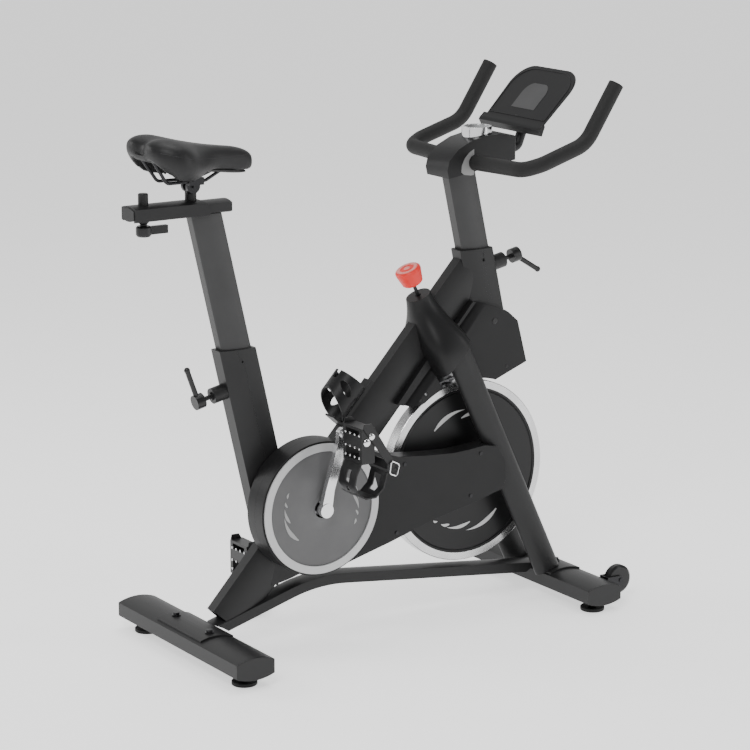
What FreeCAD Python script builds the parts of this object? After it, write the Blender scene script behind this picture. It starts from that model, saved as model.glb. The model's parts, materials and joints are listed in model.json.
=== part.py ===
import FreeCAD
import Part
import math
import os
import Sketcher

# Indoor exercise bike, millimetres.  +X is forward (handlebar end), +Y is the rider's left,
# +Z is up, and the origin lies on the floor under the middle of the whole bike.

os.makedirs("parts", exist_ok=True)
doc = FreeCAD.newDocument("exercise_bike")
Vector = FreeCAD.Vector
parts = []

SIZES = {
    # stabilisers, their plates, feet and transport wheels
    "rear_bar_x": -415, "rear_bar_z": 45, "rear_bar_length": 507,
    "front_bar_x": 498, "front_bar_z": 41, "front_bar_length": 460,
    "bar_width": 90, "bar_edge": 30, "bar_bulge": 9, "bar_wall": 2.5, "end_cap": 2.5,
    "plate_thickness": 4, "rear_plate_half": 94, "front_plate_half": 86,
    "foot_radius": 27, "foot_height": 11, "stud_radius": 5, "fit_gap": 0.05,
    "rear_foot_y": 209, "front_foot_y": 197, "front_foot_x": 491,
    "roller_radius": 33, "roller_width": 20, "roller_x": 580, "roller_z": 50, "roller_y": 170,
    "origin_shift": -29.5,
    # frame tubes
    "main_width": 90, "main_edge": 28, "main_bulge": 7.5, "main_wall": 2.5, "main_lean": 42.2,
    "main_x": -341.6, "main_z": 66, "main_length": 960,
    "mast_width": 85, "mast_edge": 36, "mast_bulge": 5, "mast_wall": 2.5,
    "seat_lean": -13, "seat_top_x": -311.4, "seat_top_z": 657,
    "head_lean": -12.5, "head_top_x": 293.3, "head_top_z": 810, "head_base_z": 640,
    "base_width": 46, "base_edge": 22, "base_bulge": 3,
    "leg_width": 62, "leg_thickness": 36, "leg_wall": 2.5, "leg_lean": -25.1, "leg_y": 58,
    "leg_x": 473, "leg_z": 50, "leg_length": 612,
    # telescopic posts
    "post_width": 70, "post_edge": 25, "post_bulge": 5, "post_wall": 2,
    "seat_post_length": 540, "bar_post_length": 330, "post_gap": 0.08,
    # drive
    "crank_x": -153.3, "crank_z": 306.6, "crank_length": 170, "crank_angle": 10.6,
    "axle_radius": 10, "axle_half": 112, "pulley_radius": 92, "belt_y": -66, "belt_width": 14,
    "wheel_x": 271, "wheel_z": 312.5, "wheel_radius": 205, "rim_width": 32, "small_radius": 27,
    "wheel_axle_radius": 8,
    # covers
    "drum_radius": 146, "drum_front": -91, "drum_back": -30, "arm_front": -88, "arm_back": -42,
    "cover_wall": 3, "ring_radius": 142, "ring_inner": 125,
    # saddle and its carriage
    "rail_z": 961, "rail_width": 52, "rail_edge": 18, "rail_bulge": 5, "rail_rear": -550, "rail_front": -329,
    "sleeve_rear": -552, "sleeve_front": -378, "sleeve_wall": 3.5, "clamp_x": -518,
}

sheet = doc.addObject("Spreadsheet::Sheet", "Sizes")
for row, (alias, number) in enumerate(SIZES.items(), start=1):
    sheet.set("A%d" % row, alias)
    sheet.set("B%d" % row, str(number))
    sheet.setAlias("B%d" % row, alias)
doc.recompute()


def size(expression):
    """The number that an expression of sheet cells stands for."""
    if not isinstance(expression, str):
        return float(expression)
    return float(sheet.evalExpression(expression))


def S(alias):
    return "Sizes." + alias


def turn_about_y(degrees):
    """A rotation that leans local Z forward (+X) by the angle."""
    return FreeCAD.Rotation(Vector(0, 1, 0), degrees)


def aim(direction):
    return FreeCAD.Rotation(Vector(0, 0, 1), direction)


def place(item, position, rotation=None):
    item.Placement = FreeCAD.Placement(Vector(*position), rotation or FreeCAD.Rotation())
    return item


def bind(item, **expressions):
    for name, expression in expressions.items():
        item.setExpression(name, str(expression))
    return item


# ---------------------------------------------------------------- primitives

def box(name, lengths, corner):
    item = doc.addObject("Part::Box", name)
    bind(item, Length=lengths[0], Width=lengths[1], Height=lengths[2])
    return place(item, corner)


def cylinder(name, radius, height, position, direction=Vector(0, 0, 1)):
    item = doc.addObject("Part::Cylinder", name)
    bind(item, Radius=radius, Height=height)
    return place(item, position, aim(direction))


def cone(name, radius_low, radius_high, height, position, direction=Vector(0, 0, 1)):
    item = doc.addObject("Part::Cone", name)
    bind(item, Radius1=radius_low, Radius2=radius_high, Height=height)
    return place(item, position, aim(direction))


def cut(name, base, tool):
    item = doc.addObject("Part::Cut", name)
    item.Base = base
    item.Tool = tool
    return item


def common(name, base, tool):
    item = doc.addObject("Part::Common", name)
    item.Base = base
    item.Tool = tool
    return item


def fuse(name, items):
    item = doc.addObject("Part::MultiFuse", name)
    item.Shapes = items
    item.Refine = True
    return item


def group(name, items):
    item = doc.addObject("Part::Compound", name)
    item.Links = items
    return item


def made(name, shape):
    """A shape that neither a body nor a primitive describes, such as a loft or a bent bar."""
    item = doc.addObject("Part::Feature", name)
    item.Shape = shape
    return item


def publish(item, label):
    """Names a finished sub-part and moves it so that the origin is under the bike's middle."""
    item.Label = label
    shift = FreeCAD.Placement(Vector(size(S("origin_shift")), 0, 0), FreeCAD.Rotation())
    item.Placement = shift.multiply(item.Placement)
    parts.append(item)
    return item


# ---------------------------------------------------------------- sketched bodies

def new_body(name):
    return doc.addObject("PartDesign::Body", name)


def new_sketch(body, plane="XY_Plane"):
    sketch = body.newObject("Sketcher::SketchObject", body.Name + "_sketch")
    origin_plane = [item for item in body.Origin.OriginFeatures if item.Role == plane][0]
    sketch.AttachmentSupport = [(origin_plane, "")]
    sketch.MapMode = "FlatFace"
    return sketch


def bound(sketch, kind, *arguments):
    """Adds a sized constraint whose value follows an expression (the last argument)."""
    expression = arguments[-1]
    index = sketch.addConstraint(Sketcher.Constraint(kind, *arguments[:-1], size(expression)))
    sketch.setExpression("Constraints[%d]" % index, str(expression))


def barrel_loop(sketch, width, edge, bulge):
    """A tube section: two flat narrow sides joined by two gently bulged wide ones."""
    half_width, half_edge = size(width) / 2, size(edge) / 2
    crown = half_edge + size(bulge)
    first = sketch.GeometryCount
    corner = [Vector(-half_width, -half_edge, 0), Vector(-half_width, half_edge, 0),
              Vector(half_width, half_edge, 0), Vector(half_width, -half_edge, 0)]
    sketch.addGeometry(Part.LineSegment(corner[0], corner[1]), False)
    sketch.addGeometry(Part.Arc(corner[1], Vector(0, crown, 0), corner[2]), False)
    sketch.addGeometry(Part.LineSegment(corner[2], corner[3]), False)
    sketch.addGeometry(Part.Arc(corner[3], Vector(0, -crown, 0), corner[0]), False)
    left, top, right, bottom = first, first + 1, first + 2, first + 3
    # an arc runs anticlockwise, so the top one starts at the right-hand corner
    sketch.addConstraint(Sketcher.Constraint("Coincident", left, 2, top, 2))
    sketch.addConstraint(Sketcher.Constraint("Coincident", top, 1, right, 1))
    sketch.addConstraint(Sketcher.Constraint("Coincident", right, 2, bottom, 2))
    sketch.addConstraint(Sketcher.Constraint("Coincident", bottom, 1, left, 1))
    for side, sign in ((left, -1), (right, 1)):
        for end in (1, 2):
            up = 1 if (side == left) == (end == 2) else -1
            bound(sketch, "DistanceX", -1, 1, side, end, "%d * (%s) / 2" % (sign, width))
            bound(sketch, "DistanceY", -1, 1, side, end, "%d * (%s) / 2" % (up, edge))
    radius = "((%s) ^ 2 / 4 + (%s) ^ 2) / (2 * (%s))" % (width, bulge, bulge)
    bound(sketch, "Radius", top, radius)
    bound(sketch, "Radius", bottom, radius)


def pad(body, sketch, height, midplane=False):
    feature = body.newObject("PartDesign::Pad", body.Name + "_pad")
    feature.Profile = sketch
    feature.setExpression("Length", str(height))
    feature.Midplane = midplane
    return feature


def barrel_tube(name, kind, wall, height, extra="0"):
    """A straight tube of one of the barrel sections; no wall makes it solid."""
    width = "%s + 2 * (%s)" % (S(kind + "_width"), extra)
    edge = "%s + 2 * (%s)" % (S(kind + "_edge"), extra)
    bulge = S(kind + "_bulge")
    body = new_body(name)
    sketch = new_sketch(body)
    barrel_loop(sketch, width, edge, bulge)
    if wall:
        barrel_loop(sketch, "%s - 2 * %s" % (width, wall), "%s - 2 * %s" % (edge, wall), bulge)
    pad(body, sketch, height)
    return body


def circle_pad(name, radii, height):
    """A round bar, or a ring where two radii are given, along local Z."""
    body = new_body(name)
    sketch = new_sketch(body)
    for radius in radii:
        index = sketch.addGeometry(Part.Circle(Vector(), Vector(0, 0, 1), size(radius)), False)
        sketch.addConstraint(Sketcher.Constraint("Coincident", index, 3, -1, 1))
        bound(sketch, "Radius", index, radius)
    pad(body, sketch, height)
    return body


def outline(sketch, points):
    """A closed outline of straight runs; each corner's place follows its expressions."""
    corners = [Vector(size(x), size(y), 0) for x, y in points]
    first = sketch.GeometryCount
    count = len(corners)
    for index, corner in enumerate(corners):
        sketch.addGeometry(Part.LineSegment(corner, corners[(index + 1) % count]), False)
    for index, (x, y) in enumerate(points):
        line, after = first + index, first + (index + 1) % count
        sketch.addConstraint(Sketcher.Constraint("Coincident", line, 2, after, 1))
        for kind, expression, axis in (("DistanceX", x, -2), ("DistanceY", y, -1)):
            if abs(size(expression)) < 1e-9:
                sketch.addConstraint(Sketcher.Constraint("PointOnObject", line, 1, axis))
            else:
                bound(sketch, kind, -1, 1, line, 1, expression)


def prism(name, points, height, plane="XZ_Plane"):
    """An outline drawn in a plane and padded to both sides of it."""
    body = new_body(name)
    sketch = new_sketch(body, plane)
    outline(sketch, points)
    pad(body, sketch, height, midplane=True)
    return body


def turned(name, profile):
    """A solid of revolution about local Z; the profile's points are (radius, height)."""
    body = new_body(name)
    sketch = new_sketch(body, "XZ_Plane")
    outline(sketch, profile)
    feature = body.newObject("PartDesign::Revolution", name + "_turn")
    feature.Profile = sketch
    feature.ReferenceAxis = (sketch, ["V_Axis"])
    feature.Angle = 360
    return body


# ---------------------------------------------------------------- directions and key points

RIGHT = Vector(0, -1, 0)
LEFT = Vector(0, 1, 0)
FORWARD = Vector(1, 0, 0)
CRANK_CENTRE = Vector(size(S("crank_x")), 0, size(S("crank_z")))
WHEEL_CENTRE = Vector(size(S("wheel_x")), 0, size(S("wheel_z")))
SEAT_TURN = turn_about_y(size(S("seat_lean")))
HEAD_TURN = turn_about_y(size(S("head_lean")))
LEG_TURN = turn_about_y(size(S("leg_lean")))
SEAT_UP = SEAT_TURN.multVec(Vector(0, 0, 1))
HEAD_UP = HEAD_TURN.multVec(Vector(0, 0, 1))
LEG_UP = LEG_TURN.multVec(Vector(0, 0, 1))
SEAT_TOP = Vector(size(S("seat_top_x")), 0, size(S("seat_top_z")))
HEAD_TOP = Vector(size(S("head_top_x")), 0, size(S("head_top_z")))
KNOB_AXIS_POINT = Vector(152, 0, 719)        # middle of the fork shroud's round top
KNOB_DOWN = Vector(-LEG_UP.x, 0, -LEG_UP.z)
CROWN_RADIUS = (size(S("bar_width")) ** 2 / 4 + size(S("bar_bulge")) ** 2) / (2 * size(S("bar_bulge")))


def crown_centre(end):
    """Centre of the arc that a stabiliser's top face follows."""
    top = size(S(end + "_bar_z")) + size(S("bar_edge")) / 2 + size(S("bar_bulge"))
    return Vector(size(S(end + "_bar_x")), 0, top - CROWN_RADIUS)


def plate_tool(end, half_length, name):
    """A round solid whose surface is the top of a stabiliser's mounting plate."""
    centre = crown_centre(end)
    radius = CROWN_RADIUS + size(S("plate_thickness")) + 0.1
    return cylinder(name, radius, 2 * half_length, (centre.x, half_length, centre.z), RIGHT)


# ---------------------------------------------------------------- stabilisers

def stabiliser(end, foot_x, foot_y, bolt_x, bolt_y):
    name = end + "_stabilizer"
    length = size(S(end + "_bar_length"))
    tube = barrel_tube(name + "_tube", "bar", S("bar_wall"), S(end + "_bar_length"))
    place(tube, (size(S(end + "_bar_x")), length / 2, size(S(end + "_bar_z"))),
          FreeCAD.Rotation(Vector(1, 0, 0), 90))
    holes = []
    for side in (-1, 1):
        stud_hole = S("stud_radius") + " + " + S("fit_gap")
        holes.append(cylinder(name + "_stud_hole", stud_hole, 30, (foot_x, side * foot_y, 10)))
        holes.append(cylinder(name + "_bolt_hole", 4.3, 30, (bolt_x, side * bolt_y, 50)))
    return publish(cut(name, tube, fuse(name + "_holes", holes)), name)


stabiliser("rear", size(S("rear_bar_x")), size(S("rear_foot_y")), -418, 71)
stabiliser("front", size(S("front_foot_x")), size(S("front_foot_y")), 512, 30)


def end_caps():
    caps = []
    for end in ("rear", "front"):
        half = size(S(end + "_bar_length")) / 2
        for side in (-1, 1):
            cap = barrel_tube("%s_cap" % end, "bar", None, S("end_cap"))
            outer = half + size(S("end_cap")) if side > 0 else -half
            place(cap, (size(S(end + "_bar_x")), outer, size(S(end + "_bar_z"))),
                  FreeCAD.Rotation(Vector(1, 0, 0), 90))
            caps.append(cap)
    return publish(group("stabilizer_end_caps", caps), "stabilizer_end_caps")


end_caps()


def bent_plate(end, half, low_x, high_x, bolts):
    """A steel plate curved to sit on a stabiliser's bulged top."""
    centre = crown_centre(end)
    base = CROWN_RADIUS + 0.1
    name = end + "_plate"
    outer = cylinder(name + "_outer", base + size(S("plate_thickness")), 2 * half,
                     (centre.x, half, centre.z), RIGHT)
    inner = cylinder(name + "_inner", base, 2 * half + 2, (centre.x, half + 1, centre.z), RIGHT)
    window = box(name + "_window", (high_x - low_x, 2 * half, 60), (low_x, -half, 40))
    holes = [cylinder(name + "_hole", 4.3, 40, (x, y, 50)) for x, y in bolts]
    sheet_metal = common(name + "_bent", cut(name + "_skin", outer, inner), window)
    return cut(name, sheet_metal, fuse(name + "_holes", holes))


plates = [bent_plate("rear", size(S("rear_plate_half")), -452, -374, [(-418, 71), (-418, -71)]),
          bent_plate("front", size(S("front_plate_half")), 457, 539, [(512, 30), (512, -30)])]


# ---------------------------------------------------------------- welded frame

def main_tube_envelope(name, extra, wall=None):
    tube = barrel_tube(name, "main", wall, S("main_length"), extra)
    return place(tube, (size(S("main_x")), 0, size(S("main_z"))), turn_about_y(size(S("main_lean"))))


def mast_envelope(name, kind, extra, height, wall=None):
    """The seat tube or the head tube, from its top point downwards."""
    lean, top = (SEAT_TURN, SEAT_TOP) if kind == "seat" else (HEAD_TURN, HEAD_TOP)
    up = lean.multVec(Vector(0, 0, 1))
    tube = barrel_tube(name, "mast", wall, height, extra)
    start = top - up * (height - 30)
    return place(tube, tuple(start), lean)


def leg_envelope(name, side, extra, wall=None):
    """A fork leg: an oval tube that leans back as it rises."""
    body = new_body(name)
    sketch = new_sketch(body)
    long_half = size(S("leg_width")) / 2 + extra
    short_half = size(S("leg_thickness")) / 2 + extra
    for shrink in ([0, wall] if wall else [0]):
        sketch.addGeometry(Part.Ellipse(Vector(long_half - shrink, 0, 0),
                                        Vector(0, short_half - shrink, 0), Vector()), False)
    pad(body, sketch, S("leg_length"))
    return place(body, (size(S("leg_x")), side * size(S("leg_y")), size(S("leg_z"))), LEG_TURN)


def base_tube_envelope(name, extra, wall=None):
    """The low tube in the middle plane: up to a hump behind the crank, then gently down forwards."""
    width = size(S("base_width")) / 2 + extra
    edge = size(S("base_edge")) / 2 + extra
    crown = edge + size(S("base_bulge"))
    rise, fall = math.radians(16.0), math.radians(-6.6)
    start = Vector(-384, 0, 50)
    apex = Vector(-118, 0, start.z + (384 - 118) * math.tan(rise))
    reach = 70
    before = apex - Vector(math.cos(rise), 0, math.sin(rise)) * reach
    after = apex + Vector(math.cos(fall), 0, math.sin(fall)) * reach
    finish = apex + Vector(math.cos(fall), 0, math.sin(fall)) * 592
    bend_radius = reach / math.tan((rise - fall) / 2)
    centre = before + Vector(math.sin(rise), 0, -math.cos(rise)) * bend_radius
    middle = (rise + fall) / 2
    top = centre + Vector(-math.sin(middle), 0, math.cos(middle)) * bend_radius
    path = Part.Wire([Part.LineSegment(start, before).toShape(),
                      Part.Arc(before, top, after).toShape(),
                      Part.LineSegment(after, finish).toShape()])

    def section(shrink):
        half_width, half_edge, high = width - shrink, edge - shrink, crown - shrink
        corner = [Vector(0, -half_width, -half_edge), Vector(0, -half_width, half_edge),
                  Vector(0, half_width, half_edge), Vector(0, half_width, -half_edge)]
        loop = Part.Wire([Part.LineSegment(corner[0], corner[1]).toShape(),
                          Part.Arc(corner[1], Vector(0, 0, high), corner[2]).toShape(),
                          Part.LineSegment(corner[2], corner[3]).toShape(),
                          Part.Arc(corner[3], Vector(0, 0, -high), corner[0]).toShape()])
        loop.Placement = FreeCAD.Placement(start, turn_about_y(-math.degrees(rise)))
        return path.makePipeShell([loop], True, False)

    shape = section(0)
    if wall:
        shape = shape.cut(section(wall))
    return made(name, shape)


seat_solid = mast_envelope("seat_tube_solid", "seat", "0", 560)
head_solid = mast_envelope("head_tube_solid", "head", "0", 230)
main_solid = main_tube_envelope("main_tube_solid", "0")
base_solid = base_tube_envelope("base_tube_solid", 0)
rear_plate_solid = plate_tool("rear", 120, "rear_plate_top")
front_plate_solid = plate_tool("front", 110, "front_plate_top")
shell_solid = cylinder("shell_solid", 25, 110, (CRANK_CENTRE.x, 72, CRANK_CENTRE.z), RIGHT)
below_base = prism("below_base", [(-420, 20), (-250, 20), (-250, 89), (-384, 50), (-420, 50)], 120)
rod_hole = cylinder("rod_hole", 9.5, 320, tuple(KNOB_AXIS_POINT - KNOB_DOWN * 20), KNOB_DOWN)


def bar_solid(end):
    body = barrel_tube(end + "_bar_solid", "bar", None, S(end + "_bar_length"), "0.05")
    return place(body, (size(S(end + "_bar_x")), size(S(end + "_bar_length")) / 2,
                        size(S(end + "_bar_z"))), FreeCAD.Rotation(Vector(1, 0, 0), 90))


rear_bar_solid = bar_solid("rear")
front_bar_solid = bar_solid("front")

main_blank = main_tube_envelope("main_tube_blank", "0", S("main_wall"))
main_tools = fuse("main_tube_tools", [head_solid, base_solid, rear_plate_solid, shell_solid, rod_hole, below_base])
publish(cut("main_tube", main_blank, main_tools), "main_tube")

seat_blank = mast_envelope("seat_tube_blank", "seat", "0", 560, S("mast_wall"))
seat_top_box = box("seat_tube_top", (200, 120, 80), (SEAT_TOP.x - 110, -60, SEAT_TOP.z))
SEAT_PIN = SEAT_TOP - SEAT_UP * 82
SEAT_BACK = SEAT_TURN.multVec(Vector(-1, 0, 0))
seat_pin_hole = cylinder("seat_pin_hole", 8.5, 40, tuple(SEAT_PIN + SEAT_BACK * 20), SEAT_BACK)
seat_grub_hole = cylinder("seat_grub_hole", 2.5, 40, (SEAT_TOP.x + 8, 0, SEAT_TOP.z - 26), RIGHT)
seat_tools = fuse("seat_tube_tools", [seat_top_box, main_solid, seat_pin_hole, seat_grub_hole])
publish(cut("seat_tube", seat_blank, seat_tools), "seat_tube")

head_blank = mast_envelope("head_tube_blank", "head", "0", 230, S("mast_wall"))
head_top_box = box("head_tube_top", (220, 120, 80), (HEAD_TOP.x - 110, -60, HEAD_TOP.z))
head_base_box = box("head_tube_base", (260, 120, 90),
                    (HEAD_TOP.x - 90, -60, size(S("head_base_z")) - 90))
HEAD_PIN = HEAD_TOP - HEAD_UP * 52
HEAD_FORE = HEAD_TURN.multVec(Vector(1, 0, 0))
head_pin_hole = cylinder("head_pin_hole", 8.5, 40, tuple(HEAD_PIN + HEAD_FORE * 20), HEAD_FORE)
head_grub_hole = cylinder("head_grub_hole", 2.5, 40, (HEAD_TOP.x + 16, 0, HEAD_TOP.z - 26), RIGHT)
head_tools = fuse("head_tube_tools", [head_top_box, head_base_box, head_pin_hole, head_grub_hole])
publish(cut("head_tube", head_blank, head_tools), "head_tube")

base_blank = base_tube_envelope("base_tube_blank", 0, 2.5)
base_tools = fuse("base_tube_tools", [rear_bar_solid, rear_plate_solid, front_bar_solid, front_plate_solid])
publish(cut("base_tube", base_blank, base_tools), "base_tube")

legs = []
for side, hand in ((-1, "right"), (1, "left")):
    blank = leg_envelope("fork_leg_blank_" + hand, side, 0, size(S("leg_wall")))
    foot_tool = plate_tool("front", 110, "leg_foot_" + hand)
    legs.append(cut("fork_leg_" + hand, blank, foot_tool))
publish(group("fork_legs", legs), "fork_legs")

shell = circle_pad("crank_shell", ["25", "21"], "110")
place(shell, (CRANK_CENTRE.x, 72, CRANK_CENTRE.z), aim(RIGHT))


def frame_weldments():
    """Small welded pieces: foot plates, crank shell, adjuster bosses, axle dropouts, crown stubs."""
    items = plates + [shell]
    for name, pin, outward, mast in (("seat_boss", SEAT_PIN, SEAT_BACK, seat_solid),
                                     ("head_boss", HEAD_PIN, HEAD_FORE, head_solid)):
        barrel = cylinder(name + "_bar", 17, 44, tuple(pin + outward * 30), outward)
        bore = cylinder(name + "_bore", 8.5, 60, tuple(pin + outward * 20), outward)
        items.append(cut(name, barrel, fuse(name + "_tools", [bore, mast])))
    for side, hand in ((-1, "right"), (1, "left")):
        x, z = WHEEL_CENTRE.x, WHEEL_CENTRE.z
        plate = prism("dropout_plate_" + hand, [(x - 24, z - 22), (x + 85, z - 30), (x + 70, z + 26), (x - 24, z + 22)], 6)
        place(plate, (0, side * 45, 0))
        hole = cylinder("dropout_hole_" + hand, 16, 20, (x, side * 45 + 10, z), RIGHT)
        leg = leg_envelope("dropout_leg_" + hand, side, 0.05)
        items.append(cut("dropout_" + hand, plate, fuse("dropout_tools_" + hand, [hole, leg])))
        crown_low = 20 if side > 0 else -61
        crown = cylinder("crown_bar_" + hand, 15, 41, (197, crown_low + 41, 603), RIGHT)
        leg = leg_envelope("crown_leg_" + hand, side, 0.05)
        main = main_tube_envelope("crown_main_" + hand, "0.05")
        items.append(cut("crown_" + hand, crown, fuse("crown_tools_" + hand, [leg, main])))
    return publish(group("frame_weldments", items), "frame_weldments")


frame_weldments()


# ---------------------------------------------------------------- feet, bolts, transport wheels

def foot(name, x, y):
    profile = [("0", 0), (S("foot_radius") + " - 1.5", 0), (S("foot_radius"), 1.5),
               (S("foot_radius"), 7.5), (S("foot_radius") + " - 1.5", 9), (9, 9),
               (9, S("foot_height") + " + 2"), (S("stud_radius"), S("foot_height") + " + 2"),
               (S("stud_radius"), 34), ("0", 34)]
    return publish(place(turned(name, profile), (x, y, 0)), name)


for side, hand in ((-1, "right"), (1, "left")):
    foot("foot_rear_" + hand, size(S("rear_bar_x")), side * size(S("rear_foot_y")))
    foot("foot_front_" + hand, size(S("front_foot_x")), side * size(S("front_foot_y")))


def hex_head(name, across, height, position, direction=Vector(0, 0, 1)):
    head = doc.addObject("Part::Prism", name)
    bind(head, Polygon=6, Circumradius=across / math.sqrt(3), Height=height)
    return place(head, position, aim(direction))


bolts = []
for end, x, y, top in (("rear", -418, 71, 73.3), ("rear", -418, -71, 73.3),
                       ("front", 512, 30, 68.3), ("front", 512, -30, 68.3)):
    washer = cut("bolt_washer", cylinder("bolt_washer_blank", 10, 1.6, (x, y, top)),
                 plate_tool(end, 120, "bolt_washer_seat"))
    head = hex_head("bolt_head", 13, 5.5, (x, y, top + 1.5))
    shank = cylinder("bolt_shank", 4, 16, (x, y, top - 15.5))
    bolts.append(fuse("stabilizer_bolt", [washer, head, shank]))


def roller(side, hand):
    """A transport wheel in a small fork that is bolted to the front of the stabiliser."""
    name = "transport_wheel_" + hand
    radius, half = size(S("roller_radius")), size(S("roller_width")) / 2
    profile = [(5.05, -half), (radius - 5, -half), (radius, -half + 4), (radius, half - 4),
               (radius - 5, half), (5.05, half)]
    x, y, z = size(S("roller_x")), side * size(S("roller_y")), size(S("roller_z"))
    wheel = turned(name, profile)
    publish(place(wheel, (x, y, z), aim(LEFT)), name)
    cheeks = []
    for offset in (-half - 3.5, half + 3.5):
        cheek = prism("roller_cheek", [(543.2, 40), (545, 61), (x, z + 10), (x + 10, z), (x, z - 10)], 3)
        cheeks.append(place(cheek, (0, y + offset, 0)))
    back = box("roller_back", (2.5, 2 * half + 10, 21), (543.2, y - half - 5, 40))
    pin = cylinder("roller_pin", 5, 2 * half + 14, (x, y + half + 7, z), RIGHT)
    return fuse("roller_fork_" + hand, cheeks + [back, pin])


publish(group("wheel_forks", [roller(-1, "right"), roller(1, "left")]), "transport_wheel_forks")


# ---------------------------------------------------------------- flywheel and drive

def flywheel():
    half = size(S("rim_width")) / 2
    outer = size(S("wheel_radius"))
    rim_profile = [(outer - 17, -half), (outer - 1.5, -half), (outer, -half + 1.5),
                   (outer, half - 1.5), (outer - 1.5, half), (outer - 17, half)]
    x, z = WHEEL_CENTRE.x, WHEEL_CENTRE.z
    publish(place(turned("flywheel_rim", rim_profile), (x, 0, z), aim(LEFT)), "flywheel_rim")
    inner = outer - 17.02
    web = half - 1.5
    bore = size(S("wheel_axle_radius"))
    disc_profile = [(bore, -half), (26, -half), (30, -web), (inner - 8, -web),
                    (inner - 6, -web + 2), (inner - 4, -web), (inner, -web), (inner, web), (30, web),
                    (26, half), (bore, half)]
    publish(place(turned("flywheel_disc", disc_profile), (x, 0, z), aim(LEFT)), "flywheel_disc")
    axle = circle_pad("flywheel_axle_bar", [S("wheel_axle_radius") + " - 0.01"], "134")
    place(axle, (x, 56, z), aim(RIGHT))
    bearings = []
    for y in (-49, 39):
        ring = circle_pad("wheel_bearing", ["15.98", S("wheel_axle_radius") + " + " + S("fit_gap")], "10")
        bearings.append(place(ring, (x, y + 10, z), aim(RIGHT)))
    return axle, bearings


def pulley(name, radius, bore, centre):
    """A belt pulley with a low flange at each side; the belt runs between them."""
    half = size(S("belt_width")) / 2 + 0.5
    flange = "%s + 3" % radius
    profile = [(bore, -half - 2), (flange, -half - 2), (flange, -half), (radius, -half),
               (radius, half), (flange, half), (flange, half + 2), (bore, half + 2)]
    wheel = turned(name, profile)
    return place(wheel, (centre.x, size(S("belt_y")), centre.z), aim(LEFT))


wheel_axle, bearings = flywheel()
small_pulley = pulley("wheel_pulley", S("small_radius"), "5", WHEEL_CENTRE)
publish(fuse("flywheel_axle_solid", [wheel_axle, small_pulley]), "flywheel_axle_pulley")
large_pulley = pulley("crank_pulley", S("pulley_radius"), "7", CRANK_CENTRE)


def belt_area(name, thickness, width):
    """Everything inside the belt's outer or inner face, as a solid across the belt."""
    gap = 0.4
    big = size(S("pulley_radius")) + gap + thickness
    small = size(S("small_radius")) + gap + thickness
    along = WHEEL_CENTRE - CRANK_CENTRE
    lean = math.atan2(along.z, along.x)
    open_angle = math.acos((big - small) / along.Length)
    corners = []
    for angle, order in ((lean + open_angle, (small, big)), (lean - open_angle, (big, small))):
        outward = Vector(math.cos(angle), 0, math.sin(angle))
        for radius in order:
            centre = WHEEL_CENTRE if radius == small else CRANK_CENTRE
            corners.append(centre + outward * radius)
    body = prism(name + "_run", [(p.x, p.z) for p in corners], width)
    place(body, (0, size(S("belt_y")), 0))
    y = size(S("belt_y")) + width / 2
    rounds = [cylinder(name + "_big", big, width, (CRANK_CENTRE.x, y, CRANK_CENTRE.z), RIGHT),
              cylinder(name + "_small", small, width, (WHEEL_CENTRE.x, y, WHEEL_CENTRE.z), RIGHT)]
    return fuse(name, [body] + rounds)


publish(cut("drive_belt", belt_area("belt_outer", 2.4, size(S("belt_width"))),
            belt_area("belt_inner", 0, size(S("belt_width")) + 4)), "drive_belt")

axle = circle_pad("crank_axle_bar", [S("axle_radius") + " - 0.01"], "2 * " + S("axle_half"))
place(axle, (CRANK_CENTRE.x, size(S("axle_half")), CRANK_CENTRE.z), aim(RIGHT))
publish(fuse("crank_axle_solid", [axle, large_pulley]), "crank_axle_pulley")
for y in (60, -38):
    ring = circle_pad("crank_bearing", ["20.98", S("axle_radius") + " + " + S("fit_gap")], "12")
    bearings.append(place(ring, (CRANK_CENTRE.x, y + 12, CRANK_CENTRE.z), aim(RIGHT)))
publish(group("bearing_rings", bearings), "axle_bearings")


def across_bar(name, radius, inner, outer, side, x, z):
    """A round bar along the crank axle's direction between two distances from the middle plane."""
    return cylinder(name, radius, outer - inner, (x, outer if side > 0 else -inner, z), RIGHT)


def crank_arm(side, hand):
    """A forged arm: a round boss on the axle, a tapering blade that steps outwards, a pedal eye."""
    angle = math.radians(size(S("crank_angle")))
    direction = Vector(math.sin(angle), 0, math.cos(angle)) * (1 if side < 0 else -1)
    across = Vector(direction.z, 0, -direction.x)

    def ring(distance, half_width, y_in, y_out):
        middle = CRANK_CENTRE + direction * distance
        low, high = middle - across * half_width, middle + across * half_width
        corners = [(low, y_in), (high, y_in), (high, y_out), (low, y_out), (low, y_in)]
        return Part.makePolygon([Vector(p.x, side * y, p.z) for p, y in corners])

    reach = size(S("crank_length"))
    sections = [ring(0, 13, 99, 113), ring(45, 10.5, 101, 114), ring(105, 10.5, 112, 125),
                ring(150, 12.5, 121, 134), ring(reach, 13.5, 121.5, 134)]
    blade = made("crank_blade_" + hand, Part.makeLoft(sections, True, True))
    tip = CRANK_CENTRE + direction * reach
    boss = across_bar("crank_boss", 15.5, 98, 115, side, CRANK_CENTRE.x, CRANK_CENTRE.z)
    bore = across_bar("crank_bore", S("axle_radius"), 80, 112.5, side, CRANK_CENTRE.x, CRANK_CENTRE.z)
    eye = across_bar("crank_eye", 14, 121, 134, side, tip.x, tip.z)
    spindle = across_bar("spindle_bar", 7, 130, 217, side, tip.x, tip.z)
    collar = across_bar("spindle_collar", 10, 133, 140, side, tip.x, tip.z)
    name = "crank_arm_" + hand
    publish(cut(name, fuse(name + "_solid", [blade, boss, eye, spindle, collar]), bore), name)
    return tip


PEDAL_TIPS = {-1: crank_arm(-1, "right"), 1: crank_arm(1, "left")}


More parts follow.
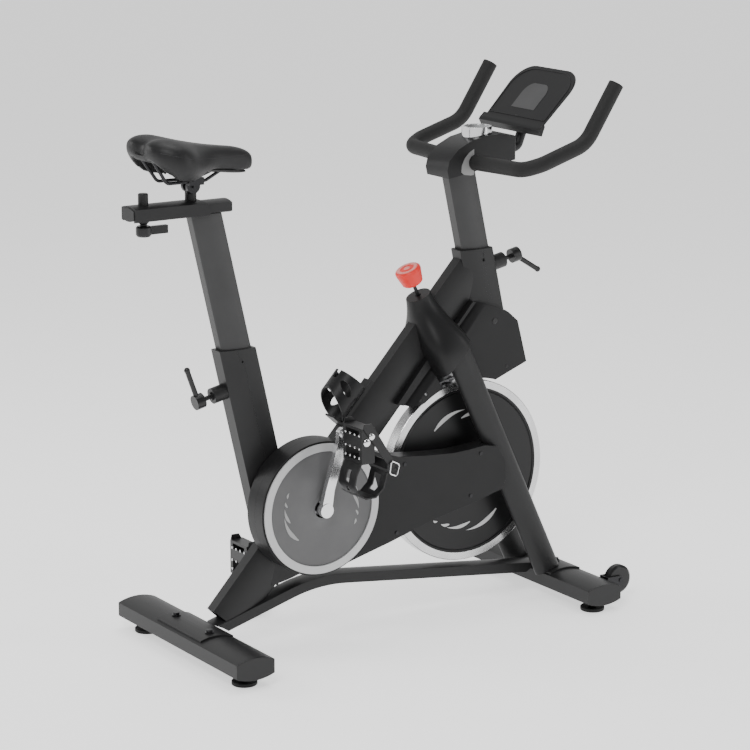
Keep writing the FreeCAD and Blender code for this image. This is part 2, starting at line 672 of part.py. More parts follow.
def pedal(side, hand):
    """A plastic platform hanging toe-down from its spindle, with a toe cage and a strap."""
    tip = PEDAL_TIPS[side]
    x, z, middle = tip.x, tip.z, side * 185
    block = box("pedal_block", (32, 72, 76), (x - 13, middle - 36, z - 46))
    windows = [box("pedal_window", (40, 50, 12), (x - 17, middle - 25, z + 12)),
               box("pedal_window", (40, 50, 24), (x - 17, middle - 25, z - 39)),
               across_bar("pedal_bore", "7 + " + S("fit_gap"), 148, 217.5, side, x, z)]
    publish(cut("pedal_body_" + hand, block, fuse("pedal_cuts_" + hand, windows)), "pedal_body_" + hand)
    outer = [(-12, -46.3), (-24, -70), (-28, -92), (-20, -112), (0, -124), (26, -124), (46, -106), (56, -72)]
    inner = [(52.5, -72), (43, -104), (25, -120.5), (1, -120.5), (-17, -109.5), (-24.5, -91),
             (-20.6, -71), (-8.5, -46.3)]
    tongue = place(prism("cage_sheet_" + hand, outer + inner, 62), (x, middle, z))
    slots = [box("cage_slot", (40, 24, 34), (x + 30, middle - 12, z - 114)),
             box("cage_slot", (20, 14, 26), (x - 34, middle - 7, z - 88)),
             cylinder("cage_eye", 5, 30, (x - 34, middle, z - 102), FORWARD)]
    publish(cut("toe_cage_" + hand, tongue, fuse("cage_slots_" + hand, slots)), "toe_cage_" + hand)
    bands = []
    for y in (middle - 37.5, middle + 37.5):
        band = prism("strap_side", [(-8, 40), (10, 40), (70, -54), (62, -70), (-10, 30)], 2.2)
        bands.append(place(band, (x, y, z)))
    cross = prism("strap_cross", [(62.3, -70), (65, -71), (70.5, -54), (68, -53.5)], 77.2)
    bands.append(place(cross, (x, middle, z)))
    outside = middle + side * 39.7
    plate = box("buckle_plate", (26, 2.4, 16), (x + 48, outside - 1.2, z - 68))
    opening = box("buckle_hole", (18, 6, 9), (x + 52, outside - 3, z - 64.5))
    bands.append(cut("strap_buckle", plate, opening))
    publish(fuse("strap_solid_" + hand, bands), "toe_strap_" + hand)


pedal(-1, "right")
pedal(1, "left")


# ---------------------------------------------------------------- belt cover

ARM_TOP = [(-60, 440), (-20, 412), (45, 391), (110, 384), (188, 379), (230, 381), (271, 385), (305, 378)]
ARM_LOW = [(326, 345), (329, 300), (318, 279), (234, 257), (129, 235), (24, 204), (-100, 172)]


def cover_solid(name, inset, drum_low, drum_high, arm_low, arm_high):
    """The drum round the crank with the arm that reaches forward over the belt."""
    drum = cylinder(name + "_drum", size(S("drum_radius")) - inset, drum_high - drum_low,
                    (CRANK_CENTRE.x, drum_high, CRANK_CENTRE.z), RIGHT)
    points = []
    for x, z in ARM_TOP + ARM_LOW:
        inward = -inset if z > 318 else inset
        points.append((x - (inset if x > 300 else 0), z + inward))
    arm = prism(name + "_arm", points, arm_high - arm_low)
    place(arm, (0, (arm_high + arm_low) / 2, 0))
    return fuse(name, [drum, arm])


def belt_cover():
    wall = size(S("cover_wall"))
    front, back = size(S("drum_front")), size(S("drum_back"))
    arm_front, arm_back = size(S("arm_front")), size(S("arm_back"))
    whole = cover_solid("cover_whole", 0, front, back, arm_front, arm_back)
    hollow = cover_solid("cover_hollow", wall, front + wall, back - wall, arm_front + wall, arm_back - wall)
    crank_x, crank_z, wheel_x, wheel_z = CRANK_CENTRE.x, CRANK_CENTRE.z, WHEEL_CENTRE.x, WHEEL_CENTRE.z
    tools = [hollow, cylinder("cover_shell_hole", 25.5, 40, (crank_x, -20, crank_z), RIGHT),
             cylinder("cover_face_hole", 19, 30, (crank_x, -75, crank_z), RIGHT),
             cylinder("cover_hub_hole", 18, 40, (wheel_x, -20, wheel_z), RIGHT),
             leg_envelope("cover_leg", -1, 0.6),
             box("cover_dropout", (130, 14, 66), (wheel_x - 28, -50, wheel_z - 34))]
    hull = cut("cover_hull", whole, fuse("cover_tools", tools))
    for name, low, high in (("belt_cover_outer", -100, -60), ("belt_cover_inner", -60, -20)):
        half = box(name + "_half", (800, high - low, 500), (-400, low, 80))
        publish(common(name, hull, half), name)
    ring = circle_pad("cover_trim_ring", [S("ring_radius"), S("ring_inner")], "4")
    publish(place(ring, (crank_x, front, crank_z), aim(RIGHT)), "cover_trim_ring")
    radius = S("ring_inner") + " - 0.2"
    profile = [(19, 4), (27, 4), (30, 2), (radius, 1), (radius, 0.02), (19, 0.02)]
    disc = place(turned("cover_disc", profile), (crank_x, front, crank_z), aim(RIGHT))
    publish(disc, "cover_disc")


belt_cover()
screws = []
for x, z in ((234, 276), (260, 368), (60, 372), (40, 222)):
    screws.append(cylinder("cover_screw", 4, 2, (x, size(S("arm_front")), z), RIGHT))
publish(group("bolts_and_screws", bolts + screws), "bolts_and_screws")


# ---------------------------------------------------------------- fork shroud, front housing, tension knob

def knob_frame(s, n, y):
    """A point s down the tension rod's line, n forward of it and y to the left."""
    forward = Vector(-KNOB_DOWN.z, 0, KNOB_DOWN.x)
    return KNOB_AXIS_POINT + KNOB_DOWN * s + forward * n + Vector(0, y, 0)


SHROUD_SECTIONS = [  # distance down the line, offset forward, half-length, half-width, squareness
    (0, 0, 28, 28, 2.0), (35, -3, 35, 37, 2.2), (70, -5, 43, 58, 2.6),
    (105, -5, 50, 77, 3.4), (130, -4, 52, 82, 4.0), (225, -4, 52, 82, 4.0)]


def shroud_solid(inset):
    loops = []
    for s, offset, half_n, half_y, power in SHROUD_SECTIONS:
        if s == 0 and inset:
            s = inset
        points = []
        for step in range(32):
            angle = math.radians(360 * (step + 0.5) / 32)
            c, d = math.cos(angle), math.sin(angle)
            n = math.copysign(abs(c) ** (2 / power), c) * (half_n - inset)
            y = math.copysign(abs(d) ** (2 / power), d) * (half_y - inset)
            points.append(knob_frame(s, offset + n, y))
        curve = Part.BSplineCurve()
        curve.interpolate(points, PeriodicFlag=True)
        loops.append(Part.Wire([curve.toShape()]))
    return Part.makeLoft(loops, True, False)


def fork_shroud():
    """A moulded cover over the fork's crown; its lower rim runs parallel to the main tube."""
    skin = made("shroud_skin", shroud_solid(0))
    hollow = made("shroud_hollow", shroud_solid(3))
    main_turn = turn_about_y(size(S("main_lean")))
    rim = box("shroud_rim", (400, 240, 900), (0, 0, 0))
    start = Vector(size(S("main_x")), 0, size(S("main_z")))
    place(rim, tuple(start + main_turn.multVec(Vector(64, -120, 100))), main_turn)
    tube = main_tube_envelope("shroud_tube", "0.6")
    rod = cylinder("shroud_rod", 6.5, 30, tuple(knob_frame(-10, 0, 0)), KNOB_DOWN)
    return publish(cut("fork_shroud", skin, fuse("shroud_tools", [hollow, rim, tube, rod])), "fork_shroud")


fork_shroud()

def wheel_spot(radius, degrees):
    """A point at a distance and direction from the flywheel's axle."""
    angle = math.radians(degrees)
    return (WHEEL_CENTRE.x + radius * math.cos(angle), WHEEL_CENTRE.z + radius * math.sin(angle))


BRACKET_PIVOT = wheel_spot(226, 122)
HOUSING = [(274, 697), (295, 692), (360, 669), (370, 663), (395, 641), (420, 546), (336, 514),
           (214, 514), (140, 482), (113, 481), (77, 491), (163, 591), (237, 655)]


def along_main_tube(name, points):
    """A long three-sided bar beside the main tube, at each of its two sides."""
    turn = turn_about_y(size(S("main_lean")))
    start = Vector(size(S("main_x")), 0, size(S("main_z")))
    bars = []
    for side in (-1, 1):
        bar = prism(name, [(x, side * y) for x, y in points], 1200, "XY_Plane")
        bars.append(place(bar, tuple(start + turn.multVec(Vector(0, 0, 600))), turn))
    return bars


def front_housing():
    """Two moulded halves under the head tube that hide the magnets; open towards the flywheel."""
    block = prism("housing_block", HOUSING, 68)
    inner = [(277, 693), (294, 688), (358, 665), (368, 659), (391, 638), (416, 549), (336, 490),
             (214, 490), (140, 470), (113, 470), (88, 494), (163, 586), (237, 650)]
    hollow = cut("housing_hollow", prism("housing_inside", inner, 63),
                 fuse("housing_strip_inside", along_main_tube("strip_inside", [(41.5, 16.4), (76.5, 37.4), (41.5, 37.4)])))
    strips = along_main_tube("housing_strip", [(40, 19), (75, 40), (40, 40)])
    boss = cylinder("housing_boss", 17.3, 50, tuple(HEAD_PIN + HEAD_FORE * 28), HEAD_FORE)
    crown = cylinder("housing_crown", 15.3, 140, (197, 70, 603), RIGHT)
    shroud = made("housing_shroud", shroud_solid(-0.3))
    wheel = cylinder("housing_wheel", 212, 100, (WHEEL_CENTRE.x, 50, WHEEL_CENTRE.z), RIGHT)
    tube = main_tube_envelope("housing_tube", "0.3")
    head = mast_envelope("housing_head", "head", "0.3", 230)
    pivot_hole = cylinder("housing_pivot", 4, 80, (BRACKET_PIVOT[0], 40, BRACKET_PIVOT[1]), RIGHT)
    hull = cut("housing_hull", block, fuse("housing_tools", [hollow, wheel, tube, head, pivot_hole, boss, crown, shroud] + strips))
    for side, hand in ((-1, "right"), (1, "left")):
        half = box("housing_half_" + hand, (500, 60, 400), (0, min(0, side * 60), 400))
        publish(common("front_housing_" + hand, hull, half), "front_housing_" + hand)


front_housing()


def tension_parts():
    rod = cylinder("rod_bar", 4, 261, tuple(knob_frame(-61, 0, 0)), KNOB_DOWN)
    collar = cylinder("rod_collar", 9.4, 12, tuple(knob_frame(14, 0, 0)), KNOB_DOWN)
    publish(fuse("rod_solid", [rod, collar]), "tension_rod")
    profile = [(4.05, 30), (20, 30), (23, 33), (29, 60), (28.5, 65), (25.5, 68), ("0", 68), ("0", 61.5),
               (4.05, 61.5)]
    knob = turned("tension_knob", profile)
    publish(place(knob, tuple(KNOB_AXIS_POINT), LEG_TURN), "tension_knob")


tension_parts()


def magnet_bracket():
    """A curved shoe over the rim, hinged at its rear end, with three magnets under it."""
    steps = range(88, 125, 4)
    points = [wheel_spot(222, a) for a in steps] + [wheel_spot(217, a) for a in reversed(steps)]
    shoe = prism("bracket_shoe", points, 30)
    pivot = BRACKET_PIVOT
    eye = cylinder("bracket_eye", 7, 30, (pivot[0], 15, pivot[1]), RIGHT)
    pin = cylinder("bracket_pin", "4 - " + S("fit_gap"), 67, (pivot[0], 33.5, pivot[1]), RIGHT)
    magnets = []
    for a in (92, 101, 110):
        corners = [wheel_spot(216.8, a - 2.6), wheel_spot(216.8, a + 2.6),
                   wheel_spot(211.5, a + 2.6), wheel_spot(211.5, a - 2.6)]
        magnets.append(prism("magnet_block", corners, 24))
    publish(group("bracket_and_magnets", [fuse("bracket_solid", [shoe, eye, pin])] + magnets), "magnet_bracket")


magnet_bracket()


# ---------------------------------------------------------------- posts, bushes, adjusters

def bush(name, top, lean):
    """The plastic liner in a mast's mouth that guides the post."""
    up = lean.multVec(Vector(0, 0, 1))
    body = new_body(name + "_ring")
    sketch = new_sketch(body)
    fit = S("mast_wall") + " + " + S("fit_gap")
    barrel_loop(sketch, "%s - 2 * (%s)" % (S("mast_width"), fit), "%s - 2 * (%s)" % (S("mast_edge"), fit),
                S("mast_bulge"))
    barrel_loop(sketch, S("post_width") + " + 2 * " + S("post_gap"),
                S("post_edge") + " + 2 * " + S("post_gap"), S("post_bulge"))
    pad(body, sketch, "80")
    place(body, tuple(top - up * 34), lean)
    lid = box(name + "_lid", (220, 120, 90), (top.x - 110, -60, top.z))
    return cut(name, body, lid)


bushes = [bush("seat_bush", SEAT_TOP, SEAT_TURN), bush("head_bush", HEAD_TOP, HEAD_TURN)]
publish(group("bushes", bushes), "post_bushes")

rail_z = size(S("rail_z"))
TO_FRONT = FreeCAD.Rotation(Vector(0, 1, 0), 90).multiply(FreeCAD.Rotation(Vector(0, 0, 1), 90))


def rail_envelope(name, extra, wall, start, finish):
    body = barrel_tube(name, "rail", wall, str(finish - start), extra)
    return place(body, (start, 0, rail_z), TO_FRONT)


def post(name, length, top, lean, reach, holes_face, tool):
    """A hollow post with a row of pin holes in the face that looks forward (1) or back (-1)."""
    up = lean.multVec(Vector(0, 0, 1))
    blank = barrel_tube(name + "_blank", "post", S("post_wall"), str(length))
    place(blank, tuple(top + up * (reach - length)), lean)
    side = lean.multVec(Vector(1, 0, 0))
    holes = [tool]
    for step in range(6):
        spot = top + up * (reach - length + 60 + 30 * step)
        holes.append(cylinder(name + "_pin_hole", 9, 50, tuple(spot), side * holes_face))
    return cut(name + "_drilled", blank, fuse(name + "_tools", holes))


rail_solid = rail_envelope("rail_solid", "0", None, size(S("rail_rear")), size(S("rail_front")))
publish(post("seat_post", size(S("seat_post_length")), SEAT_TOP, SEAT_TURN, 312, -1, rail_solid), "seat_post")
bar_bore = cylinder("bar_bore", 13, 120, (272, 60, 1004), RIGHT)
lid = box("bar_post_lid", (200, 100, 60), (160, -50, 1004))
bar_top_tools = fuse("bar_post_top", [bar_bore, lid])
bar_post = post("bar_post", size(S("bar_post_length")), HEAD_TOP, HEAD_TURN, 214, 1, bar_top_tools)
bar_middle = cylinder("bar_middle", 13.02, 86.4, (272, 43.2, 1004), RIGHT)
publish(fuse("bar_post_solid", [bar_post, bar_middle]), "handlebar_post")

bolt_slot = box("rail_slot", (56, 16, 60), (-546, -8, rail_z - 30))
rail_blank = rail_envelope("rail_blank", "0", "2.5", size(S("rail_rear")), size(S("rail_front")))
caps = [rail_envelope("rail_cap_rear", "0", None, size(S("rail_rear")) - 4, size(S("rail_rear"))),
        rail_envelope("rail_cap_front", "0", None, size(S("rail_front")), size(S("rail_front")) + 4)]
publish(fuse("rail_solid_capped", [cut("rail_slotted", rail_blank, bolt_slot)] + caps), "seat_rail")


def plunger(name, pin_point, outward, tip_direction, label):
    """A spring plunger in a boss, with a lever knob on its outer end."""
    thick = cylinder(name + "_thick", "8.5 - " + S("fit_gap"), 42, tuple(pin_point + outward * 36), outward)
    thin = cylinder(name + "_thin", 5, 38, tuple(pin_point + outward * 78), outward)
    hub = cylinder(name + "_hub", 16, 20, tuple(pin_point + outward * 96), outward)
    centre = pin_point + outward * 107
    lever = cylinder(name + "_lever", 5.5, 74, tuple(centre), tip_direction)
    end = doc.addObject("Part::Sphere", name + "_end")
    bind(end, Radius=6.5)
    place(end, tuple(centre + tip_direction * 74))
    publish(fuse(name + "_solid", [thick, thin, hub, lever, end]), label)


plunger("seat_plunger", SEAT_PIN, SEAT_BACK, Vector(-26, 0, 71).normalize(), "seat_post_plunger")
plunger("bar_plunger", HEAD_PIN, HEAD_FORE, Vector(55, 0, -34).normalize(), "handlebar_plunger")


# ---------------------------------------------------------------- saddle carriage and saddle

PIVOT = (-408, 1008)


def saddle_stub():
    base = cylinder("stub_bar", 12, 16.6, (PIVOT[0], 0, 976))
    tongue = box("stub_tongue", (22, 10, 28), (PIVOT[0] - 11, -5, 990))
    bore = cylinder("stub_bore", "4 + " + S("fit_gap"), 30, (PIVOT[0], 15, PIVOT[1]), RIGHT)
    return [cut("stub", fuse("stub_solid", [base, tongue]), bore)]


def carriage():
    """A sleeve open along its underside that slides on the rail, and the bolt that clamps it."""
    rear, front, bolt_x = size(S("sleeve_rear")), size(S("sleeve_front")), size(S("clamp_x"))
    skin = S("post_gap") + " + " + S("sleeve_wall")
    outer = rail_envelope("sleeve_outer", skin, None, rear, front)
    channel = rail_envelope("sleeve_channel", S("post_gap"), None, rear - 40, front + 40)
    floor = box("sleeve_floor", (260, 46, 20), (rear - 40, -23, 940))
    nose = prism("sleeve_nose", [(front - 30, 982), (front - 14, 978.5), (front - 5, 971), (front, 958),
                                 (front + 6, 958), (front + 6, 990), (front - 30, 990)], 80)
    bolt_hole = cylinder("sleeve_bolt_hole", 4.9, 60, (bolt_x, 0, 940))
    sleeve = cut("slider_sleeve", outer, fuse("slider_tools", [channel, floor, nose, bolt_hole]))
    bolt = turned("clamp_bolt", [("0", 914), (5, 914), (5, 976), (10.5, 976), (10.5, 1000),
                                 (9, 1001.5), ("0", 1001.5)])
    place(bolt, (bolt_x, 0, 0))
    publish(fuse("slider_solid", [sleeve, bolt] + saddle_stub()), "seat_slider")
    hub = turned("clamp_hub", [(5.05, 913), (5.05, 946.9), (11, 946.9), (11, 942), (7, 938), (7, 935),
                               (13, 935), (16, 932), (16, 917), (13, 913)])
    place(hub, (bolt_x, 0, 0))
    paddle = box("clamp_paddle", (42, 10, 17), (bolt_x + 12, -5, 916))
    return publish(fuse("clamp_knob", [hub, paddle]), "clamp_lever")


carriage()


def saddle_clamp():
    items = [cylinder("clamp_pin", 4, 40, (PIVOT[0], 20, PIVOT[1]), RIGHT)]
    for side in (-1, 1):
        y = side * 5.3
        items.append(cylinder("clamp_cheek", 15, 8.7, (PIVOT[0], max(y, y + side * 8.7), PIVOT[1]), RIGHT))
        items.append(box("clamp_seat", (34, 14, 15), (PIVOT[0] - 17, min(side * 13, side * 27), 1012)))
    grooves = [cylinder("clamp_groove", 3.55, 60, (PIVOT[0] - 30, side * 20, 1019.5), Vector(1, 0, 0)) for side in (-1, 1)]
    publish(cut("saddle_clamp", fuse("clamp_solid", items), fuse("clamp_grooves", grooves)), "saddle_clamp")


saddle_clamp()


def rounded_path(points, radii):
    """A wire through the points whose inner corners are turned into arcs."""
    edges, start = [], points[0]
    for index in range(1, len(points) - 1):
        before = (points[index - 1] - points[index]).normalize()
        after = (points[index + 1] - points[index]).normalize()
        half_angle = before.getAngle(after) / 2
        back = radii[index - 1] / math.tan(half_angle)
        first, last = points[index] + before * back, points[index] + after * back
        bisector = (before + after).normalize()
        middle = points[index] + bisector * (radii[index - 1] / math.sin(half_angle) - radii[index - 1])
        edges.append(Part.LineSegment(start, first).toShape())
        edges.append(Part.Arc(first, middle, last).toShape())
        start = last
    edges.append(Part.LineSegment(start, points[-1]).toShape())
    return Part.Wire(edges)


def round_sweep(points, radii, radius):
    path = rounded_path(points, radii)
    direction = (points[1] - points[0]).normalize()
    loop = Part.Wire([Part.makeCircle(radius, points[0], direction)])
    return path.makePipeShell([loop], True, True)


def saddle_rail(side):
    points = [Vector(-345, side * 12, 1035.5), Vector(-384, side * 20, 1019.5),
              Vector(-474, side * 20, 1019.5), Vector(-506, side * 24, 1068)]
    return round_sweep(points, [14, 14], 3.5)


publish(group("saddle_rails", [made("saddle_rail_right", saddle_rail(-1)),
                               made("saddle_rail_left", saddle_rail(1))]), "saddle_rails")

SADDLE = [  # station, half-width, top, underside over the rails, lower edge of the side skirts
    (-531, 44, 1104, 1090, 1080), (-524, 64, 1110, 1084, 1064), (-505, 84, 1115, 1074, 1044),
    (-478, 95, 1113, 1065, 1026), (-450, 90, 1106, 1058, 1018), (-425, 73, 1100, 1052, 1020),
    (-395, 53, 1094, 1047, 1030), (-355, 37, 1087, 1042, 1037), (-305, 29, 1079, 1036, 1030),
    (-277, 23, 1071, 1033, 1028), (-264, 14, 1060, 1036, 1034)]


def saddle_loft(name, sections, squareness):
    """A solid through rounded sections, each given by its station, half-width, top and bottom."""
    loops = []
    for station, half, high, low in sections:
        points = []
        for step in range(24):
            angle = math.radians(360 * (step + 0.5) / 24)
            c, d = math.cos(angle), math.sin(angle)
            y = math.copysign(abs(c) ** squareness, c) * half
            z = (high + low) / 2 + math.copysign(abs(d) ** squareness, d) * (high - low) / 2
            points.append(Vector(station, y, z))
        curve = Part.BSplineCurve()
        curve.interpolate(points, PeriodicFlag=True)
        loops.append(Part.Wire([curve.toShape()]))
    return made(name, Part.makeLoft(loops, True, False))


def saddle():
    """A padded cover, hollow underneath between its skirts, with a moulded base plate up inside it."""
    skin = saddle_loft("saddle_skin", [(x, half, top, skirt) for x, half, top, under, skirt in SADDLE], 0.7)
    hollow = saddle_loft("saddle_hollow", [(x, 0.68 * half, under, skirt - 40)
                                           for x, half, top, under, skirt in SADDLE[1:-1]], 0.3)
    plate = [(-516, 38, 1074, 1067)]
    plate += [(x, 0.58 * half, under - 0.6, under - 9.6) for x, half, top, under, skirt in SADDLE[2:-2]]
    plate += [(-284, 11, 1031.5, 1026)]
    room = saddle_loft("saddle_base_room", [(x, half + 0.3, top + 0.3, low - 0.3) for x, half, top, low in plate], 0.7)
    publish(cut("saddle_cover", skin, fuse("saddle_tools", [hollow, room])), "saddle_cover")
    publish(saddle_loft("saddle_base", plate, 0.7), "saddle_base")


saddle()


# ---------------------------------------------------------------- handlebar, shroud, console, tablet holder

def bar_points(side):
    return [Vector(272, side * 44, 1004), Vector(275, side * 214, 1009), Vector(312, side * 232, 1021),
            Vector(424, side * 232, 1056), Vector(503, side * 232, 1178)]


BAR_RADII = [34, 40, 70]
for side, hand in ((-1, "right"), (1, "left")):
    points = bar_points(side)
    grip = made("grip_sweep_" + hand, round_sweep(points, BAR_RADII, 16.5))
    publish(grip, "handlebar_" + hand)


TABLET_PATH = [Vector(388, 0, 1020), Vector(412, 0, 1024), Vector(426, 0, 1060), Vector(419, 0, 1094)]


def handlebar_shroud():
    """A hollow moulded cover over the bar and the top of its post."""
    side_profile = [(203, 974), (361, 1000), (394, 1004), (389, 1040), (374, 1056), (340, 1061),
                    (300, 1060), (262, 1052), (228, 1036), (204, 1012), (199, 992)]
    block = prism("shroud_block", side_profile, 84)
    nose = cylinder("shroud_plan", 60, 120, (334, 0, 960))
    plan = box("shroud_plan_body", (165, 84, 120), (190, -42, 960))
    hollow_profile = [(208, 960), (361, 960), (388, 1006), (384, 1037), (372, 1052), (340, 1057),
                      (300, 1056), (264, 1048), (231, 1032), (208, 1009)]
    hollow = prism("shroud_inside", hollow_profile, 77)
    tools = [hollow, made("shroud_tablet_hole", round_sweep(TABLET_PATH, [16, 14], 11.4))]
    for start in (60, -30):
        tools.append(cylinder("shroud_bar_hole", 17, 30, (272, start, 1004), RIGHT))
    body = common("shroud_outer", block, fuse("shroud_plan_all", [nose, plan]))
    publish(cut("handlebar_shroud", body, fuse("shroud_cuts", tools)), "handlebar_shroud")


handlebar_shroud()

bezel = circle_pad("bezel_ring", ["33", "27"], "33")
place(bezel, (304, 0, 1044))
console_seat = prism("console_seat", [(199, 900), (394, 900), (394, 1004), (389, 1040), (374, 1056.2),
                                      (340, 1061.2), (300, 1060.2), (262, 1052.2), (228, 1036.2)], 90)
publish(cut("console_ring", bezel, console_seat), "console_bezel")
glass = cylinder("console_glass", 26.8, 14, (304, 0, 1062))
publish(glass, "console_face")


def tablet_holder():
    lean = FreeCAD.Rotation(Vector(0, 1, 0), 45)
    along = lean.multVec(Vector(0, 0, 1))
    body = new_body("tablet_plate")
    sketch = new_sketch(body, "YZ_Plane")
    arc = [math.radians(step * 11.25) for step in range(9)]
    right_side = [(105, 0)] + [(58 + 52 * math.cos(a), 96 + 54 * math.sin(a)) for a in arc]
    points = right_side + [(-y, z) for y, z in reversed(right_side)]
    outline(sketch, points)
    pad(body, sketch, "5")
    place(body, (401, 0, 1082), lean)
    lip = prism("tablet_lip", [(396, 1082), (402, 1088), (404, 1079), (396, 1059), (388, 1073), (391, 1078)], 226)
    bar = made("tablet_bar", round_sweep(TABLET_PATH, [16, 14], 11))
    publish(fuse("tablet_solid", [body, lip, bar]), "tablet_holder")


tablet_holder()


# ---------------------------------------------------------------- bottle cage

def bottle_cage():
    """A moulded cage on the main tube: a band that tapers towards its foot, windows, and a lower lip."""
    turn = turn_about_y(size(S("main_lean")))
    start = Vector(size(S("main_x")), 0, size(S("main_z")))

    def fixed(item, x, y, z):
        return place(item, tuple(start + turn.multVec(Vector(x, y, z))), turn)

    def window(x, z, long, short, tilt):
        points = []
        for step in range(16):
            angle = math.radians(360 * step / 16)
            along, across = long * math.cos(angle), short * math.sin(angle)
            points.append((x + along * math.cos(tilt) - across * math.sin(tilt),
                           z + along * math.sin(tilt) + across * math.cos(tilt)))
        return fixed(prism("cage_window", points, 100), 0, 0, 0)

    back = fixed(box("cage_back", (9, 30, 118), (0, 0, 0)), -54.2, -15, 484)
    outer = fixed(cylinder("cage_outer", 38, 94, (0, 0, 0)), -91, 0, 484)
    inner = fixed(cylinder("cage_inner", 35, 100, (0, 0, 0)), -91, 0, 481)
    side = fixed(prism("cage_side", [(-130, 576), (-130, 532), (-120, 521), (-109, 514), (-95, 506),
                                     (-81, 499), (-65, 491), (-50, 486), (-50, 576)], 90), 0, 0, 0)
    slit = fixed(box("cage_slit", (30, 14, 24), (0, 0, 0)), -140, -7, 556)
    windows = [window(-106, 546, 19, 9, math.radians(-34)), window(-70, 532, 20, 8, math.radians(80))]
    band = cut("cage_band", common("cage_sides", outer, side), fuse("cage_cuts", [inner, slit] + windows))
    lip_plate = fixed(box("cage_lip", (30, 34, 4), (0, 0, 0)), -81, -17, 484)
    publish(fuse("bottle_cage", [band, back, lip_plate]), "bottle_cage")


bottle_cage()


# ---------------------------------------------------------------- write

def write_parts():
    doc.recompute()
    for item in doc.Objects:
        bad = [word for word in item.State if word in ("Invalid", "Error")]
        if bad:
            raise RuntimeError("%s is %s" % (item.Name, bad))
    for item in parts:
        shape = item.Shape
        if shape.isNull() or not shape.isValid() or not shape.Solids:
            raise RuntimeError("%s has no valid solid" % item.Label)
    for item in parts:
        item.Shape.exportStep("parts/%s.step" % item.Label)
        bounds = item.Shape.BoundBox
        print("%-26s solids %d  x %.0f..%.0f  y %.0f..%.0f  z %.0f..%.0f" % (
            item.Label, len(item.Shape.Solids), bounds.XMin, bounds.XMax, bounds.YMin, bounds.YMax,
            bounds.ZMin, bounds.ZMax))


write_parts()
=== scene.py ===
import json
import math
import bmesh
import bpy
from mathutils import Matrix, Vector
from mathutils.bvhtree import BVHTree


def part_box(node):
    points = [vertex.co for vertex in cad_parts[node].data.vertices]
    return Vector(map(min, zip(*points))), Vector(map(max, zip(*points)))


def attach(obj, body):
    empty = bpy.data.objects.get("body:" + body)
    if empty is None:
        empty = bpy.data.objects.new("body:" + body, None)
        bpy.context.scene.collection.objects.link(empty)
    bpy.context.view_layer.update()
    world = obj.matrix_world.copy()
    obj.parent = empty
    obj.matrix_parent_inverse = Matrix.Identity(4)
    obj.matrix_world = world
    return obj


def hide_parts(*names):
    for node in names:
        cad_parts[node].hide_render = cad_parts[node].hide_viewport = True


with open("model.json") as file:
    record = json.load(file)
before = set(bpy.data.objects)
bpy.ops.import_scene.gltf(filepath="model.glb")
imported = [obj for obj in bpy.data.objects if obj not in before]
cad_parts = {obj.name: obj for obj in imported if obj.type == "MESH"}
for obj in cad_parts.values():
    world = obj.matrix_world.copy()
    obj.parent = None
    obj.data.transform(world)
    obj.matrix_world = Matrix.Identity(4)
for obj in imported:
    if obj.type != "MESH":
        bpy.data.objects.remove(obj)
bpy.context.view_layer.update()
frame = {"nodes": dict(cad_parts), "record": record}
NODES = frame["nodes"]
MM = 0.001


# ---------------------------------------------------------------- materials

def surface(name, color, roughness, metallic=0.0, grain=900.0, relief=0.05, mottle=0.10, coat=0.0, shine=0.5):
    """A procedural finish: a fine raised grain, with slow changes of tone and gloss over it."""
    material = bpy.data.materials.new(name)
    material.use_nodes = True
    nodes, links = material.node_tree.nodes, material.node_tree.links
    shader = nodes["Principled BSDF"]
    shader.inputs["Metallic"].default_value = metallic
    shader.inputs["Specular IOR Level"].default_value = shine
    shader.inputs["Coat Weight"].default_value = coat
    shader.inputs["Coat Roughness"].default_value = 0.2
    place = nodes.new("ShaderNodeTexCoord")
    slow = nodes.new("ShaderNodeTexNoise")
    slow.inputs["Scale"].default_value = 14.0
    slow.inputs["Detail"].default_value = 4.0
    links.new(place.outputs["Object"], slow.inputs["Vector"])
    tone = nodes.new("ShaderNodeValToRGB")
    low = [channel * (1 - mottle) for channel in color]
    high = [min(1.0, channel * (1 + mottle)) for channel in color]
    tone.color_ramp.elements[0].position = 0.3
    tone.color_ramp.elements[0].color = (*low, 1)
    tone.color_ramp.elements[1].position = 0.7
    tone.color_ramp.elements[1].color = (*high, 1)
    links.new(slow.outputs["Fac"], tone.inputs["Fac"])
    links.new(tone.outputs["Color"], shader.inputs["Base Color"])
    gloss = nodes.new("ShaderNodeMapRange")
    gloss.inputs["To Min"].default_value = roughness * 0.92
    gloss.inputs["To Max"].default_value = min(1.0, roughness * 1.08)
    links.new(slow.outputs["Fac"], gloss.inputs["Value"])
    links.new(gloss.outputs["Result"], shader.inputs["Roughness"])
    fine = nodes.new("ShaderNodeTexNoise")
    fine.inputs["Scale"].default_value = grain
    fine.inputs["Detail"].default_value = 2.0
    links.new(place.outputs["Object"], fine.inputs["Vector"])
    bump = nodes.new("ShaderNodeBump")
    bump.inputs["Strength"].default_value = relief
    bump.inputs["Distance"].default_value = 0.0005
    links.new(fine.outputs["Fac"], bump.inputs["Height"])
    links.new(bump.outputs["Normal"], shader.inputs["Normal"])
    return material


def leather(name, color):
    """Soft vinyl with a pebbled grain."""
    material = surface(name, color, 0.5, grain=650.0, relief=0.12, mottle=0.12, shine=0.35)
    nodes, links = material.node_tree.nodes, material.node_tree.links
    cells = nodes.new("ShaderNodeTexVoronoi")
    cells.inputs["Scale"].default_value = 420.0
    place = [node for node in nodes if node.bl_idname == "ShaderNodeTexCoord"][0]
    bump = [node for node in nodes if node.bl_idname == "ShaderNodeBump"][0]
    links.new(place.outputs["Object"], cells.inputs["Vector"])
    links.new(cells.outputs["Distance"], bump.inputs["Height"])
    return material


